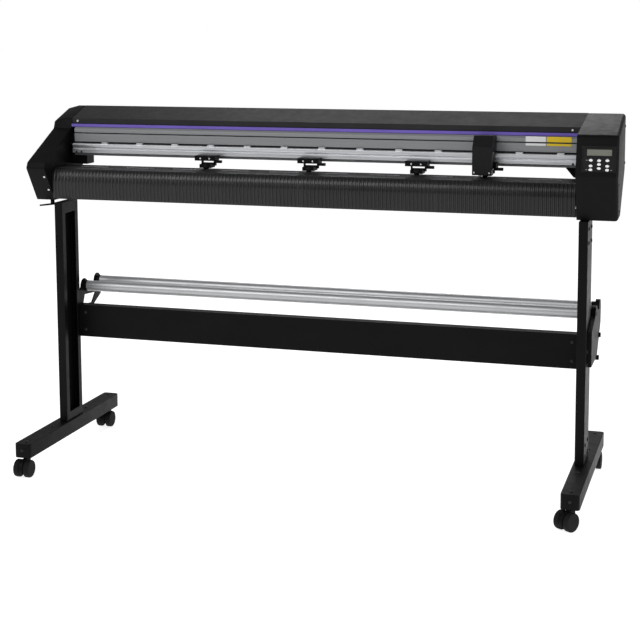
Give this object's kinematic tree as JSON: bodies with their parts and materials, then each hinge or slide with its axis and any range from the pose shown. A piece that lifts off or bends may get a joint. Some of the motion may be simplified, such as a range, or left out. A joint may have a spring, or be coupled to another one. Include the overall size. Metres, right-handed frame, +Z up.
{
  "type": "vinyl cutting plotter",
  "caption": "Wide roll-fed vinyl cutter on a castered stand, with a sliding tool carriage, pinch rollers, media rollers and a sloped keypad.",
  "frame": {"origin": "on the floor, under the middle of the whole machine", "axes": "+X to the operator's right along the rails, +Y towards the back, +Z up"},
  "size_m": [1.7178, 0.612, 1.034],
  "materials": {
    "black_sheet": "matt black powder coat",
    "black_cover": "fine textured black",
    "grey_cover": "matt charcoal",
    "platen_grey": "satin dark grey",
    "extrusion": "satin, drawn along its length",
    "dark_extrusion": "satin, grey",
    "accent": "satin violet",
    "rubber": "black",
    "steel": "ground",
    "white_key": "white",
    "display": "grey green window",
    "supply": "grey case"
  },
  "bodies": {
    "machine": {"left_foot": "black_sheet", "right_foot": "black_sheet", "left_leg": "black_sheet", "right_leg": "black_sheet", "cross_beam": "black_sheet", "left_roller_bracket": "black_sheet", "right_roller_bracket": "black_sheet", "main_frame": "black_sheet", "platen": "platen_grey", "front_cover_1": "black_cover", "front_cover_2": "black_cover", "front_cover_3": "black_cover", "front_cover_4": "black_cover", "rear_guide": "platen_grey", "top_cover": "grey_cover", "accent_strip": "accent", "left_side_cover": "black_cover", "right_side_cover": "black_cover", "upper_rail": "dark_extrusion", "lower_rail": "extrusion", "control_panel": "black_cover", "lcd_window": "display", "feed_motor": "black_cover", "power_unit": "supply"},
    "front_left_caster_fork": {"front_left_caster_fork": "black_cover"},
    "front_left_caster_wheels": {"front_left_caster_wheels": "rubber"},
    "rear_left_caster_fork": {"rear_left_caster_fork": "black_cover"},
    "rear_left_caster_wheels": {"rear_left_caster_wheels": "rubber"},
    "front_right_caster_fork": {"front_right_caster_fork": "black_cover"},
    "front_right_caster_wheels": {"front_right_caster_wheels": "rubber"},
    "rear_right_caster_fork": {"rear_right_caster_fork": "black_cover"},
    "rear_right_caster_wheels": {"rear_right_caster_wheels": "rubber"},
    "front_media_roller": {"front_media_roller": "extrusion"},
    "rear_media_roller": {"rear_media_roller": "extrusion"},
    "grit_shaft": {"grit_shaft": "steel"},
    "carriage": {"carriage": "black_cover"},
    "tool_holder": {"tool_holder": "steel"},
    "clamp_lever": {"clamp_lever": "black_cover"},
    "pinch_bracket_1": {"pinch_bracket_1": "black_cover"},
    "pinch_arm_1": {"pinch_arm_1": "black_cover"},
    "pinch_roller_1": {"pinch_roller_1": "rubber"},
    "pinch_bracket_2": {"pinch_bracket_2": "black_cover"},
    "pinch_arm_2": {"pinch_arm_2": "black_cover"},
    "pinch_roller_2": {"pinch_roller_2": "rubber"},
    "pinch_bracket_3": {"pinch_bracket_3": "black_cover"},
    "pinch_arm_3": {"pinch_arm_3": "black_cover"},
    "pinch_roller_3": {"pinch_roller_3": "rubber"},
    "pinch_bracket_4": {"pinch_bracket_4": "black_cover"},
    "pinch_arm_4": {"pinch_arm_4": "black_cover"},
    "pinch_roller_4": {"pinch_roller_4": "rubber"},
    "button_1": {"button_1": "white_key"},
    "button_2": {"button_2": "white_key"},
    "button_3": {"button_3": "white_key"},
    "button_4": {"button_4": "white_key"},
    "button_5": {"button_5": "white_key"},
    "button_6": {"button_6": "white_key"},
    "button_7": {"button_7": "white_key"},
    "button_8": {"button_8": "white_key"},
    "button_9": {"button_9": "white_key"},
    "power_switch": {"power_switch": "rubber"}
  },
  "joints": [
    {"name": "front_left_caster_swivel", "type": "hinge", "parent": "machine", "child": "front_left_caster_fork", "pos_m": [-0.775, -0.25704, 0.057], "axis": [0, 0, 1], "continuous": true},
    {"name": "front_left_caster_roll", "type": "hinge", "parent": "front_left_caster_fork", "child": "front_left_caster_wheels", "pos_m": [-0.775, -0.27504, 0.025], "axis": [1, 0, 0], "continuous": true},
    {"name": "rear_left_caster_swivel", "type": "hinge", "parent": "machine", "child": "rear_left_caster_fork", "pos_m": [-0.775, 0.27896, 0.057], "axis": [0, 0, 1], "continuous": true},
    {"name": "rear_left_caster_roll", "type": "hinge", "parent": "rear_left_caster_fork", "child": "rear_left_caster_wheels", "pos_m": [-0.775, 0.26096, 0.025], "axis": [1, 0, 0], "continuous": true},
    {"name": "front_right_caster_swivel", "type": "hinge", "parent": "machine", "child": "front_right_caster_fork", "pos_m": [0.775, -0.25704, 0.057], "axis": [0, 0, 1], "continuous": true},
    {"name": "front_right_caster_roll", "type": "hinge", "parent": "front_right_caster_fork", "child": "front_right_caster_wheels", "pos_m": [0.76546, -0.27231, 0.025], "axis": [0.848, -0.5299, 0], "continuous": true},
    {"name": "rear_right_caster_swivel", "type": "hinge", "parent": "machine", "child": "rear_right_caster_fork", "pos_m": [0.775, 0.27896, 0.057], "axis": [0, 0, 1], "continuous": true},
    {"name": "rear_right_caster_roll", "type": "hinge", "parent": "rear_right_caster_fork", "child": "rear_right_caster_wheels", "pos_m": [0.775, 0.26096, 0.025], "axis": [1, 0, 0], "continuous": true},
    {"name": "front_media_roller_spin", "type": "hinge", "parent": "machine", "child": "front_media_roller", "pos_m": [0, 0.09596, 0.49], "axis": [1, 0, 0], "continuous": true},
    {"name": "rear_media_roller_spin", "type": "hinge", "parent": "machine", "child": "rear_media_roller", "pos_m": [0, 0.18596, 0.49], "axis": [1, 0, 0], "continuous": true},
    {"name": "grit_shaft_spin", "type": "hinge", "parent": "machine", "child": "grit_shaft", "pos_m": [0, 0.07096, 0.8512], "axis": [1, 0, 0], "continuous": true},
    {"name": "carriage_travel", "type": "slide", "parent": "machine", "child": "carriage", "axis": [1, 0, 0], "range_m": [-1.225, 0.235]},
    {"name": "tool_lift", "type": "slide", "parent": "carriage", "child": "tool_holder", "axis": [0, 0, 1], "range_m": [-0.0035, 0], "stiffness_N_per_m": 500, "springref_m": 0.003},
    {"name": "clamp_lever_turn", "type": "hinge", "parent": "machine", "child": "clamp_lever", "pos_m": [-0.814, 0.01296, 0.756], "axis": [0, 0, 1], "range_deg": [0, 55]},
    {"name": "pinch_bracket_1_slide", "type": "slide", "parent": "machine", "child": "pinch_bracket_1", "axis": [1, 0, 0], "range_m": [-0.25, 0.1]},
    {"name": "pinch_arm_1_lift", "type": "hinge", "parent": "pinch_bracket_1", "child": "pinch_arm_1", "pos_m": [-0.342, 0.09496, 0.876], "axis": [-1, 0, 0], "range_deg": [0, 5]},
    {"name": "pinch_roller_1_spin", "type": "hinge", "parent": "pinch_arm_1", "child": "pinch_roller_1", "pos_m": [-0.342, 0.07096, 0.8696], "axis": [1, 0, 0], "continuous": true},
    {"name": "pinch_bracket_2_slide", "type": "slide", "parent": "machine", "child": "pinch_bracket_2", "axis": [1, 0, 0], "range_m": [-0.1, 0.1]},
    {"name": "pinch_arm_2_lift", "type": "hinge", "parent": "pinch_bracket_2", "child": "pinch_arm_2", "pos_m": [-0.026, 0.09496, 0.876], "axis": [-1, 0, 0], "range_deg": [0, 5]},
    {"name": "pinch_roller_2_spin", "type": "hinge", "parent": "pinch_arm_2", "child": "pinch_roller_2", "pos_m": [-0.026, 0.07096, 0.8696], "axis": [1, 0, 0], "continuous": true},
    {"name": "pinch_bracket_3_slide", "type": "slide", "parent": "machine", "child": "pinch_bracket_3", "axis": [1, 0, 0], "range_m": [-0.1, 0.05]},
    {"name": "pinch_arm_3_lift", "type": "hinge", "parent": "pinch_bracket_3", "child": "pinch_arm_3", "pos_m": [0.291, 0.09496, 0.876], "axis": [-1, 0, 0], "range_deg": [0, 5]},
    {"name": "pinch_roller_3_spin", "type": "hinge", "parent": "pinch_arm_3", "child": "pinch_roller_3", "pos_m": [0.291, 0.07096, 0.8696], "axis": [1, 0, 0], "continuous": true},
    {"name": "pinch_bracket_4_slide", "type": "slide", "parent": "machine", "child": "pinch_bracket_4", "axis": [1, 0, 0], "range_m": [-0.05, 0.15]},
    {"name": "pinch_arm_4_lift", "type": "hinge", "parent": "pinch_bracket_4", "child": "pinch_arm_4", "pos_m": [0.485, 0.09496, 0.876], "axis": [-1, 0, 0], "range_deg": [0, 5]},
    {"name": "pinch_roller_4_spin", "type": "hinge", "parent": "pinch_arm_4", "child": "pinch_roller_4", "pos_m": [0.485, 0.07096, 0.8696], "axis": [1, 0, 0], "continuous": true},
    {"name": "button_1_press", "type": "slide", "parent": "machine", "child": "button_1", "axis": [0, 0.9668, -0.2554], "range_m": [0, 0.0015], "stiffness_N_per_m": 250, "springref_m": -0.001},
    {"name": "button_2_press", "type": "slide", "parent": "machine", "child": "button_2", "axis": [0, 0.9668, -0.2554], "range_m": [0, 0.0015], "stiffness_N_per_m": 250, "springref_m": -0.001},
    {"name": "button_3_press", "type": "slide", "parent": "machine", "child": "button_3", "axis": [0, 0.9668, -0.2554], "range_m": [0, 0.0015], "stiffness_N_per_m": 250, "springref_m": -0.001},
    {"name": "button_4_press", "type": "slide", "parent": "machine", "child": "button_4", "axis": [0, 0.9668, -0.2554], "range_m": [0, 0.0015], "stiffness_N_per_m": 250, "springref_m": -0.001},
    {"name": "button_5_press", "type": "slide", "parent": "machine", "child": "button_5", "axis": [0, 0.9668, -0.2554], "range_m": [0, 0.0015], "stiffness_N_per_m": 250, "springref_m": -0.001},
    {"name": "button_6_press", "type": "slide", "parent": "machine", "child": "button_6", "axis": [0, 0.9668, -0.2554], "range_m": [0, 0.0015], "stiffness_N_per_m": 250, "springref_m": -0.001},
    {"name": "button_7_press", "type": "slide", "parent": "machine", "child": "button_7", "axis": [0, 0.9668, -0.2554], "range_m": [0, 0.0015], "stiffness_N_per_m": 250, "springref_m": -0.001},
    {"name": "button_8_press", "type": "slide", "parent": "machine", "child": "button_8", "axis": [0, 0.9668, -0.2554], "range_m": [0, 0.0015], "stiffness_N_per_m": 250, "springref_m": -0.001},
    {"name": "button_9_press", "type": "slide", "parent": "machine", "child": "button_9", "axis": [0, 0.9668, -0.2554], "range_m": [0, 0.0015], "stiffness_N_per_m": 250, "springref_m": -0.001},
    {"name": "power_switch_rock", "type": "hinge", "parent": "machine", "child": "power_switch", "pos_m": [0.832, 0.21796, 0.905], "axis": [-1, 0, 0], "range_deg": [0, 12]}
  ],
  "couplings": [
    {"joint": "pinch_arm_1_lift", "follows": "clamp_lever_turn", "ratio": 0.09},
    {"joint": "pinch_roller_1_spin", "follows": "grit_shaft_spin", "ratio": -1},
    {"joint": "pinch_arm_2_lift", "follows": "clamp_lever_turn", "ratio": 0.09},
    {"joint": "pinch_roller_2_spin", "follows": "grit_shaft_spin", "ratio": -1},
    {"joint": "pinch_arm_3_lift", "follows": "clamp_lever_turn", "ratio": 0.09},
    {"joint": "pinch_roller_3_spin", "follows": "grit_shaft_spin", "ratio": -1},
    {"joint": "pinch_arm_4_lift", "follows": "clamp_lever_turn", "ratio": 0.09},
    {"joint": "pinch_roller_4_spin", "follows": "grit_shaft_spin", "ratio": -1}
  ]
}
